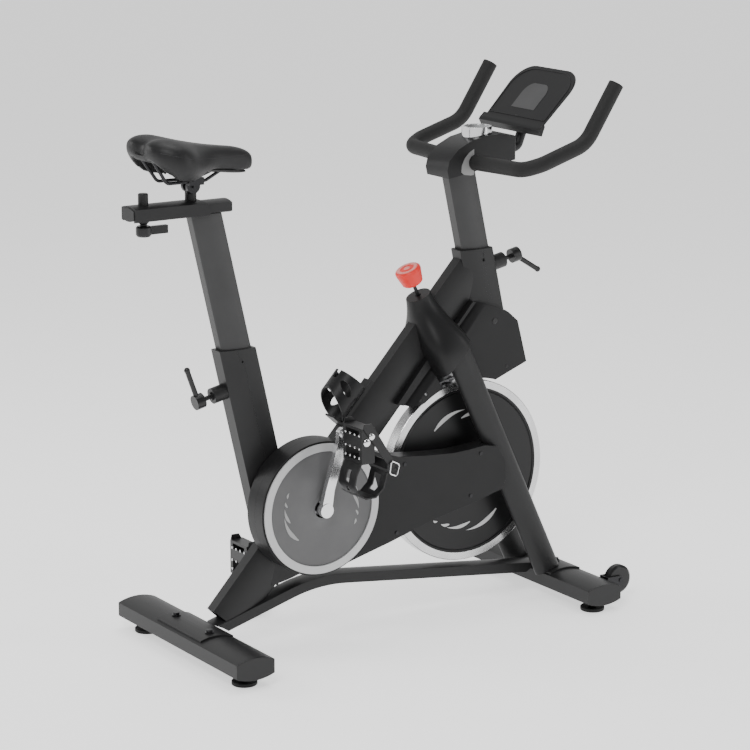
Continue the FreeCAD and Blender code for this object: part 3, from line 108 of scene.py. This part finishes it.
FINISH = {
    "frame_black": surface("powder_coat", (0.018, 0.018, 0.0185), 0.42, grain=1500, relief=0.08, shine=0.28),
    "post_black": surface("post_coat", (0.036, 0.036, 0.0365), 0.42, grain=1500, relief=0.08, shine=0.35),
    "plastic_black": surface("moulded_black", (0.012, 0.012, 0.0125), 0.42, grain=1100,
                             relief=0.10, shine=0.24),
    "plastic_grey": surface("dark_grey_panel", (0.110, 0.110, 0.112), 0.40, grain=1300,
                            relief=0.03, shine=0.4),
    "cap_black": surface("cap_plastic", (0.013, 0.013, 0.0135), 0.34, grain=1000, relief=0.06, shine=0.35),
    "rubber_black": surface("foot_rubber", (0.012, 0.012, 0.012), 0.6, grain=800, relief=0.15, shine=0.25),
    "bolt_black": surface("black_oxide", (0.03, 0.03, 0.032), 0.36, metallic=0.7, grain=900, relief=0.04),
    "bearing_steel": surface("ground_steel", (0.5, 0.5, 0.51), 0.3, metallic=1.0, relief=0.02),
    "rim_silver": surface("plated_rim", (0.60, 0.60, 0.605), 0.24, metallic=0.95, grain=90, relief=0.002),
    "disc_black": surface("disc_paint", (0.006, 0.006, 0.0065), 0.36, grain=700, relief=0.04,
                          mottle=0.15, shine=0.35),
    "axle_steel": surface("zinc_steel", (0.4, 0.4, 0.41), 0.35, metallic=1.0, relief=0.03),
    "belt_black": surface("belt_rubber", (0.015, 0.015, 0.015), 0.6, relief=0.1),
    "ring_silver": surface("silver_trim", (0.52, 0.52, 0.525), 0.38, metallic=0.25, grain=1200,
                           relief=0.01, mottle=0.03),
    "crank_silver": surface("polished_alloy", (0.76, 0.76, 0.77), 0.24, metallic=0.95, grain=90,
                            relief=0.002, mottle=0.05),
    "knob_red": surface("red_knob", (0.80, 0.030, 0.022), 0.40, grain=900, relief=0.02, shine=0.35),
    "foam_black": surface("grip_foam", (0.016, 0.016, 0.016), 0.66, grain=1700, relief=0.30, shine=0.28),
    "vinyl_black": leather("saddle_vinyl", (0.010, 0.010, 0.0105)),
    "chrome": surface("bright_chrome", (0.78, 0.78, 0.79), 0.14, metallic=1.0, grain=90,
                      relief=0.001, mottle=0.02),
    "screen_grey": surface("console_grey", (0.26, 0.265, 0.27), 0.35, grain=900, relief=0.02, mottle=0.04),
}
PANEL = surface("saddle_panel", (0.024, 0.024, 0.025), 0.62, grain=1400, relief=0.2, shine=0.24)
DECAL = surface("pale_print", (0.62, 0.62, 0.62), 0.45, grain=900, relief=0.02, mottle=0.05)
SOFT_DECAL = surface("faded_print", (0.36, 0.36, 0.36), 0.5, grain=900, relief=0.02, mottle=0.08)
KNOB_TOP = surface("pale_red", (0.80, 0.25, 0.22), 0.4, grain=900, relief=0.03)
INSET = surface("satin_inset", (0.055, 0.055, 0.056), 0.34, grain=900, relief=0.04, shine=0.4)
PALE_INSET = surface("pale_inset", (0.20, 0.20, 0.20), 0.34, grain=900, relief=0.03, shine=0.5)
SLOTS = {row["node"]: row["material_slot"] for row in frame["record"]["subparts"]}


def give(piece, material):
    piece.data.materials.clear()
    piece.data.materials.append(material)
    return piece


# ---------------------------------------------------------------- CAD nodes: finishes and softened edges

EDGE = {  # edge radius in millimetres where it isn't the ordinary one
    "main_tube": 2.5, "seat_tube": 2.5, "head_tube": 2.5, "seat_post": 2.5, "handlebar_post": 2.5,
    "rear_stabilizer": 3.0, "front_stabilizer": 3.0, "base_tube": 3.0, "stabilizer_end_caps": 0.8,
    "belt_cover_outer": 4.0, "crank_arm_right": 3.0, "crank_arm_left": 3.0, "fork_shroud": 1.2,
    "seat_slider": 1.2, "handlebar_right": 3.0, "handlebar_left": 3.0, "clamp_lever": 2.5,
    "handlebar_shroud": 5.0, "tablet_holder": 1.5, "seat_rail": 2.0, "pedal_body_right": 2.0,
    "pedal_body_left": 2.0,
    "seat_post_plunger": 1.5, "handlebar_plunger": 1.5, "tension_knob": 2.5, "bottle_cage": 0.8,
    "front_housing_right": 2.0, "front_housing_left": 2.0}
PLAIN = ("magnet_bracket", "axle_bearings", "post_bushes", "drive_belt", "fork_legs")


def soften(piece, width):
    """Joins the surface, rounds its sharp edges and shades it smoothly."""
    weld = piece.modifiers.new("weld", "WELD")
    weld.merge_threshold = 0.00002
    if width:
        bevel = piece.modifiers.new("edge", "BEVEL")
        bevel.width = width * MM
        bevel.segments = 3
        bevel.limit_method = "ANGLE"
        bevel.angle_limit = math.radians(38)
        bevel.use_clamp_overlap = True
    normals = piece.modifiers.new("shade", "WEIGHTED_NORMAL")
    normals.keep_sharp = False


for name, node in NODES.items():
    give(node, FINISH[SLOTS[name]])
    for polygon in node.data.polygons:
        polygon.use_smooth = True
    soften(node, 0 if name in PLAIN else EDGE.get(name, 0.5))


# ---------------------------------------------------------------- mesh helpers

def mesh_piece(name, points, faces, body, slot, material=None, smooth=True):
    data = bpy.data.meshes.new(name)
    data.from_pydata([tuple(point) for point in points], [], faces)
    data.update()
    work = bmesh.new()
    work.from_mesh(data)
    bmesh.ops.recalc_face_normals(work, faces=work.faces)
    work.to_mesh(data)
    work.free()
    piece = bpy.data.objects.new(name, data)
    bpy.context.scene.collection.objects.link(piece)
    give(piece, material or FINISH[slot])
    for polygon in data.polygons:
        polygon.use_smooth = smooth
    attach(piece, body)
    return piece


def slab(name, outline, thickness, to_world, body, slot, material=None, bevel=0.0, smooth=True):
    """A flat plate: the outline (u, v) lies on w = 0, and the plate reaches to w = thickness."""
    count = len(outline)
    points = [to_world(u, v, 0) for u, v in outline] + [to_world(u, v, thickness) for u, v in outline]
    faces = [list(range(count))[::-1], list(range(count, 2 * count))]
    faces += [[i, (i + 1) % count, count + (i + 1) % count, count + i] for i in range(count)]
    piece = mesh_piece(name, points, faces, body, slot, material, smooth)
    if bevel:
        edge = piece.modifiers.new("edge", "BEVEL")
        edge.width = bevel
        edge.segments = 3
        edge.limit_method = "ANGLE"
        edge.angle_limit = math.radians(50)
    shade = piece.modifiers.new("shade", "WEIGHTED_NORMAL")
    shade.keep_sharp = False
    return piece


def turned(name, profile, origin, axis, body, slot, material=None, steps=48):
    """A surface of revolution; the profile's points are (radius, height) along the axis."""
    axis = Vector(axis).normalized()
    side = axis.orthogonal().normalized()
    other = axis.cross(side)
    points, faces = [], []
    for radius, height in profile:
        for step in range(steps):
            angle = 2 * math.pi * step / steps
            points.append(Vector(origin) + axis * height
                          + (side * math.cos(angle) + other * math.sin(angle)) * radius)
    for ring in range(len(profile) - 1):
        for step in range(steps):
            after = (step + 1) % steps
            faces.append([ring * steps + step, ring * steps + after,
                          (ring + 1) * steps + after, (ring + 1) * steps + step])
    if profile[0][0] > 0 and profile[0] != profile[-1]:
        faces.append(list(range(steps))[::-1])
        faces.append([(len(profile) - 1) * steps + step for step in range(steps)])
    return mesh_piece(name, points, faces, body, slot, material)


def tube(name, points, radius, body, slot, material=None, order=3, caps=True):
    """A round bar that follows a smooth curve through its control points."""
    curve = bpy.data.curves.new(name, "CURVE")
    curve.dimensions = "3D"
    curve.bevel_depth = radius
    curve.bevel_resolution = 6
    curve.resolution_u = 12
    curve.use_fill_caps = caps
    spline = curve.splines.new("NURBS")
    spline.points.add(len(points) - 1)
    for target, point in zip(spline.points, points):
        target.co = (*point, 1)
    spline.order_u = order
    spline.use_endpoint_u = True
    piece = bpy.data.objects.new(name, curve)
    bpy.context.scene.collection.objects.link(piece)
    curve.materials.append(material or FINISH[slot])
    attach(piece, body)
    return piece


def centre_of(node):
    low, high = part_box(node)
    return (low + high) / 2


# ------------------------------------------------------------ printed strokes on the flywheel and disc

def stroke(name, centre, y, inward, ends, radius, bow, width, body, material):
    """A curved brush stroke that is widest near its first end and fades to a point at the other."""
    start, finish = ends
    steps = 18
    outer, inner = [], []
    for step in range(steps + 1):
        part = step / steps
        angle = math.radians(start + (finish - start) * part)
        middle = radius - inward * part + bow * math.sin(math.pi * part)
        swell = math.sin(math.pi * min(1.0, part * 0.62 + 0.38))
        lead_in = 0.25 + 0.75 * math.sin(math.pi * min(1, part * 2.2) / 2)
        half = width * swell * lead_in
        for edge, rim in ((outer, middle + half), (inner, middle - half)):
            edge.append((centre.x + rim * math.cos(angle), centre.z + rim * math.sin(angle)))
    outline = outer + inner[::-1]
    flip = -1 if y < 0 else 1
    return slab(name, outline, 0.0003, lambda u, v, w: Vector((u, y + flip * w, v)),
                body, "ring_silver", material)


wheel_low, wheel_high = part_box("flywheel_disc")
WHEEL = (wheel_low + wheel_high) / 2
WHEEL_FACE = wheel_high.y - 1.5 * MM
for face, word in ((-WHEEL_FACE, "right"), (WHEEL_FACE, "left")):
    for turn, group in ((0, "low"), (180, "high")):
        for index, (start, finish, radius, inward, width) in enumerate((
                (-50, -89, 131, -8, 5.5), (-84, -112, 121, -13, 4.5), (-110, -120, 126, -6, 4.0),
                (-125, -130, 131, -3, 3.0))):
            stroke("wheel_stroke_%s_%s_%d" % (word, group, index), WHEEL, face, inward * MM,
                   (start + turn, finish + turn), radius * MM, 2 * MM, width * MM, "flywheel", DECAL)

disc_low, disc_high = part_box("cover_disc")
DISC = (disc_low + disc_high) / 2
DISC_FACE = disc_low.y + 2.3 * MM
for turn, group in ((0, "rear"), (180, "front")):
    for index, (start, finish, radius, inward, width) in enumerate((
            (-134, -176, 84, -9, 5.0), (-166, -188, 81, -12, 3.8), (-190, -197, 87, -7, 3.2),
            (-202, -210, 92, -1, 2.6))):
        stroke("disc_stroke_%s_%d" % (group, index), DISC, DISC_FACE, inward * MM,
               (start + turn, finish + turn), radius * MM, 1 * MM, width * MM, "frame", SOFT_DECAL)


# ---------------------------------------------------------------- saddle

def node_copy(name, node, body, slot, scale=1.0):
    """A new piece with the shape of a CAD node, drawn in a little towards its middle."""
    source = NODES[node]
    data = source.data.copy()
    data.name = name
    work = bmesh.new()
    work.from_mesh(data)
    bmesh.ops.remove_doubles(work, verts=work.verts, dist=0.00002)
    bmesh.ops.recalc_face_normals(work, faces=work.faces)
    middle = centre_of(node)
    for vertex in work.verts:
        vertex.co = middle + (vertex.co - middle) * scale
    work.to_mesh(data)
    work.free()
    piece = bpy.data.objects.new(name, data)
    bpy.context.scene.collection.objects.link(piece)
    give(piece, FINISH[slot])
    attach(piece, body)
    return piece


def inflate(piece, voxel, pressure, most):
    """Lets the padding swell as stuffed cloth does, and holds each point near where it was."""
    view = bpy.context.view_layer
    for other in bpy.context.selected_objects:
        other.select_set(False)
    view.objects.active = piece
    piece.select_set(True)
    remesh = piece.modifiers.new("voxels", "REMESH")
    remesh.mode = "VOXEL"
    remesh.voxel_size = voxel
    bpy.ops.object.modifier_apply(modifier="voxels")
    before = [vertex.co.copy() for vertex in piece.data.vertices]
    cloth = piece.modifiers.new("cloth", "CLOTH")
    cloth.settings.use_pressure = True
    cloth.settings.uniform_pressure_force = pressure
    cloth.settings.effector_weights.gravity = 0
    cloth.settings.quality = 4
    cloth.collision_settings.use_collision = False
    scene = bpy.context.scene
    for number in range(1, 15):
        scene.frame_set(number)
    evaluated = piece.evaluated_get(bpy.context.evaluated_depsgraph_get())
    swollen = [vertex.co.copy() for vertex in evaluated.data.vertices]
    piece.modifiers.remove(cloth)
    scene.frame_set(1)
    for vertex, start, end in zip(piece.data.vertices, before, swollen):
        move = end - start
        if move.length > most:
            move *= most / move.length
        vertex.co = start + move
    smooth = piece.modifiers.new("relax", "SMOOTH")
    smooth.iterations = 4
    bpy.ops.object.modifier_apply(modifier="relax")
    return piece


def shape_saddle(piece):
    """Presses the centre channel and the two seat lobes into the padding."""
    low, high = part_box("saddle_cover")
    for vertex in piece.data.vertices:
        part = (vertex.co.x - low.x) / (high.x - low.x)
        if vertex.co.z < low.z + 0.45 * (high.z - low.z) + 0.25 * (high.z - low.z) * (1 - part):
            continue
        across = abs(vertex.co.y) / 0.030
        rear = max(0.0, 1 - part / 0.5)
        valley = math.exp(-across * across * 1.6)
        vertex.co.z -= (0.011 * rear + 0.0035 * max(0.0, 1 - abs(part - 0.5) / 0.42)) * valley
        if part < 0.12:
            vertex.co.x += 0.012 * math.exp(-(vertex.co.y / 0.022) ** 2) * (1 - part / 0.12)


def saddle_seam(name, start, finish, drop, tree):
    """A raised seam that runs along the padding at a share of its half-width."""
    low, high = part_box("saddle_cover")
    for side, word in ((-1, "right"), (1, "left")):
        points = []
        for step in range(25):
            part = start + (finish - start) * step / 24
            x = low.x + part * (high.x - low.x)
            hit = tree.ray_cast(Vector((x, side * 0.3, high.z - drop(part))), Vector((0, -side, 0)))
            if hit[0] is not None:
                points.append(hit[0] + hit[1] * 0.0002)
        if len(points) > 3:
            tube("%s_%s" % (name, word), points, 0.0009, "saddle", "vinyl_black", PANEL)


cover = node_copy("saddle_padding", "saddle_cover", "saddle", "vinyl_black", 0.985)
inflate(cover, 0.005, 3.0, 0.003)
shape_saddle(cover)
relax = cover.modifiers.new("even", "SMOOTH")
relax.iterations = 3
bpy.context.view_layer.objects.active = cover
bpy.ops.object.modifier_apply(modifier="even")
TREE = BVHTree.FromPolygons([vertex.co for vertex in cover.data.vertices],
                            [polygon.vertices for polygon in cover.data.polygons])
smoother = cover.modifiers.new("fine", "SUBSURF")
smoother.levels = 1
smoother.render_levels = 1
for polygon in cover.data.polygons:
    polygon.use_smooth = True
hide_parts("saddle_cover")
saddle_seam("saddle_seam", 0.06, 0.94,
            lambda part: 0.020 + 0.030 * part + 0.012 * math.sin(math.pi * part), TREE)


# ---------------------------------------------------------------- console, red dial

bezel_low, bezel_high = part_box("console_bezel")
FACE = (bezel_low + bezel_high) / 2
face_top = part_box("console_face")[1].z
wedge = [(0.0, 0.0)] + [(25 * MM * math.cos(math.radians(a)), 25 * MM * math.sin(math.radians(a)))
                        for a in range(100, 181, 8)]
slab("console_wedge", wedge, 0.4 * MM, lambda u, v, w: Vector((FACE.x + u, FACE.y + v, face_top + w)),
     "handlebar", "cap_black")

LEG_LEAN = math.radians(25.1)
ROD_UP = Vector((-math.sin(LEG_LEAN), 0, math.cos(LEG_LEAN)))
ROD_TOP = Vector((122.5, 0, 719)) * MM
DIAL_TOP = ROD_TOP + ROD_UP * 68 * MM
turned("dial_ring", [(16 * MM, 0.0), (16 * MM, 0.8 * MM), (24 * MM, 0.8 * MM), (24 * MM, 0.0),
                     (16 * MM, 0.0)],
       DIAL_TOP, ROD_UP, "tension_dial", "knob_red", KNOB_TOP)
turned("dial_boss", [(7.5 * MM, 0.0), (7 * MM, 1.2 * MM), (0.1 * MM, 1.4 * MM)],
       DIAL_TOP, ROD_UP, "tension_dial", "knob_red", KNOB_TOP)


# ---------------------------------------------------------------- tablet board

BOARD = Vector((371.5, 0, 1082)) * MM
UP = Vector((math.sin(math.radians(45)), 0, math.cos(math.radians(45))))
OUT = Vector((-UP.z, 0, UP.x))


def on_board(lift):
    """Maps (left, up, thickness) to a point that much above the board's face."""
    return lambda u, v, w: BOARD + Vector((0, u, 0)) + UP * v + OUT * (w + lift)


def arch(half, low, shoulder, rise, steps=10):
    """A rounded-top outline: straight foot and sides, and a broad curved head."""
    arc = [math.pi / 2 * step / steps for step in range(steps + 1)]
    near = [(half, low)]
    near += [(half * 0.42 + half * 0.58 * math.cos(a), shoulder + rise * math.sin(a)) for a in arc]
    return near + [(-u, v) for u, v in reversed(near)]


def scaled(points, unit=MM):
    return [(u * unit, v * unit) for u, v in points]


slab("board_panel", scaled(arch(42, 34, 74, 30)), 0.5 * MM, on_board(0), "handlebar", "plastic_black", INSET,
     bevel=0.2 * MM)
rim = scaled(arch(103, 12, 92, 50, 16))
ring = [on_board(0.3 * MM)(u, v, 0) for u, v in rim]
tube("board_rim", ring + [ring[0]], 0.9 * MM, "handlebar", "plastic_black", order=2)


# ---------------------------------------------------------------- handlebar cover: pale crescents at the bar

BAR = Vector((242.5, 0, 1004)) * MM
for side, word in ((-1, "right"), (1, "left")):
    edge = [(-30, -24), (-12, -27), (-4, -26)]
    turns = [math.radians(a) for a in range(258, 90, -12)]
    edge += [(17.6 * math.cos(turn), 17.6 * math.sin(turn)) for turn in turns]
    edge += [(-4, 30), (-16, 24), (-28, 12), (-36, -4), (-37, -18)]
    slab("cover_crescent_" + word, scaled(edge), 0.5 * MM,
         lambda u, v, w, side=side: Vector((BAR.x + u, side * (42 * MM + w), BAR.z + v)),
         "handlebar", "plastic_black", PALE_INSET)


# ---------------------------------------------------------------- housing plugs and screws

for name, x, z, radius, side in (("plug_right", 303, 647, 7, -1), ("plug_left", 303, 647, 7, 1),
                                 ("screw_right", 337, 541, 3.5, -1), ("screw_left", 337, 541, 3.5, 1),
                                 ("screw_low_right", 107, 492, 3.5, -1), ("screw_low_left", 107, 492, 3.5, 1)):
    turned("housing_" + name, [(radius * MM, 0.0), (radius * 0.93 * MM, 0.6 * MM), (radius * 0.5 * MM, 0.5 * MM),
                               (0.1 * MM, 0.2 * MM)],
           (x * MM, side * 34 * MM, z * MM), (0, side, 0), "frame", "cap_black")


# ------------------------------------------------------------ pedals: rivets, pins and buckle loop

def pedal_details(side, word):
    low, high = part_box("pedal_body_" + word)
    body = "pedal_" + word
    middle = (low + high) / 2
    outer = side * max(abs(low.y), abs(high.y))
    spindle = Vector((middle.x - 3 * MM, outer, middle.z + 8 * MM))
    turned("pedal_cap_" + word, [(9 * MM, 0.0), (9 * MM, 1.5 * MM), (5 * MM, 3 * MM), (0.1 * MM, 3.4 * MM)],
           spindle, (0, side, 0), body, "chrome")
    for row, height in enumerate((-26, -6, 22)):
        for column, across in enumerate((-26, -9, 9, 26)):
            place = Vector((low.x, middle.y + across * MM, middle.z + height * MM))
            turned("pedal_pin_%s_%d%d" % (word, row, column),
                   [(3.2 * MM, 0.0), (2.4 * MM, 1.6 * MM), (0.1 * MM, 2 * MM)],
                   place, (-1, 0, 0), body, "chrome", steps=16)
    strap_low, strap_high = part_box("toe_strap_" + word)
    face = side * max(abs(strap_low.y), abs(strap_high.y))
    turned("strap_rivet_" + word, [(7.5 * MM, 0.0), (7 * MM, 1.4 * MM), (4 * MM, 2.4 * MM), (0.1 * MM, 2.6 * MM)],
           Vector((middle.x + 8 * MM, outer + side * 1.6 * MM, middle.z + 20 * MM)), (0, side, 0), body, "chrome")
    plate = Vector((strap_high.x - 9 * MM, face + side * 0.9 * MM, strap_low.z + 9 * MM))
    loop = [plate + Vector((u * MM, 0, v * MM)) for u, v in
            ((-9, 12), (-5, 15), (9, 8), (11, 4), (6, -14), (2, -17), (-9, -12), (-12, -8), (-9, 12))]
    tube("buckle_loop_" + word, loop, 1.5 * MM, body, "chrome", order=2)


pedal_details(-1, "right")
pedal_details(1, "left")


# ---------------------------------------------------------------- floor, light, camera

def flat(name, size, height):
    data = bpy.data.meshes.new(name)
    half = size / 2
    data.from_pydata([(-half, -half, height), (half, -half, height), (half, half, height),
                      (-half, half, height)], [], [[0, 1, 2, 3]])
    piece = bpy.data.objects.new(name, data)
    bpy.context.scene.collection.objects.link(piece)
    paper = surface("pale_floor", (0.88, 0.88, 0.88), 0.8, grain=60, relief=0.01, mottle=0.01, shine=0.1)
    shader = paper.node_tree.nodes["Principled BSDF"]
    shader.inputs["Emission Color"].default_value = (1, 1, 1, 1)
    shader.inputs["Emission Strength"].default_value = 0.95
    piece.data.materials.append(paper)


flat("floor", 60.0, -0.0005)


def lamp(name, place, target, size, energy, color=(1, 1, 1)):
    data = bpy.data.lights.new(name, "AREA")
    data.shape = "RECTANGLE"
    data.size = size[0]
    data.size_y = size[1]
    data.energy = energy
    data.color = color
    light = bpy.data.objects.new(name, data)
    light.location = place
    light.rotation_euler = (Vector(target) - Vector(place)).to_track_quat("-Z", "Y").to_euler()
    bpy.context.scene.collection.objects.link(light)


lamp("key", (-2.4, -2.2, 3.4), (0, 0, 0.6), (1.6, 1.6), 78)
lamp("rear_fill", (-2.6, 2.4, 2.0), (0, 0, 0.6), (1.6, 1.6), 40)
lamp("front_strip", (2.6, -2.6, 1.8), (0, 0, 0.7), (0.8, 2.4), 36)
lamp("top", (0.2, 0.2, 4.2), (0, 0, 0.5), (2.4, 2.4), 74)


def backdrop_world():
    """White where the backdrop stands, dimmer on the side the light falls from."""
    world = bpy.data.worlds.new("studio")
    world.use_nodes = True
    nodes, links = world.node_tree.nodes, world.node_tree.links
    place = nodes.new("ShaderNodeTexCoord")
    facing = nodes.new("ShaderNodeVectorMath")
    facing.operation = "DOT_PRODUCT"
    facing.inputs[1].default_value = (0.545, 0.838, 0.0)
    links.new(place.outputs["Generated"], facing.inputs[0])
    ramp = nodes.new("ShaderNodeValToRGB")
    ramp.color_ramp.interpolation = "EASE"
    ramp.color_ramp.elements[0].position = 0.35
    ramp.color_ramp.elements[0].color = (0.16, 0.16, 0.16, 1)
    ramp.color_ramp.elements[1].position = 0.80
    ramp.color_ramp.elements[1].color = (1, 1, 1, 1)
    links.new(facing.outputs["Value"], ramp.inputs["Fac"])
    links.new(ramp.outputs["Color"], nodes["Background"].inputs["Color"])
    nodes["Background"].inputs["Strength"].default_value = 1.0
    bpy.context.scene.world = world


backdrop_world()

YAW, PITCH = math.radians(32.99), math.radians(12.97)
lens = bpy.data.cameras.new("camera")
lens.sensor_width = 36.0
lens.lens = 135.33
camera = bpy.data.objects.new("camera", lens)
camera.location = (-3.2208, -4.979, 1.9222)
looking = Vector((math.sin(YAW) * math.cos(PITCH), math.cos(YAW) * math.cos(PITCH), -math.sin(PITCH)))
camera.rotation_euler = looking.to_track_quat("-Z", "Y").to_euler()
bpy.context.scene.collection.objects.link(camera)
bpy.context.scene.camera = camera
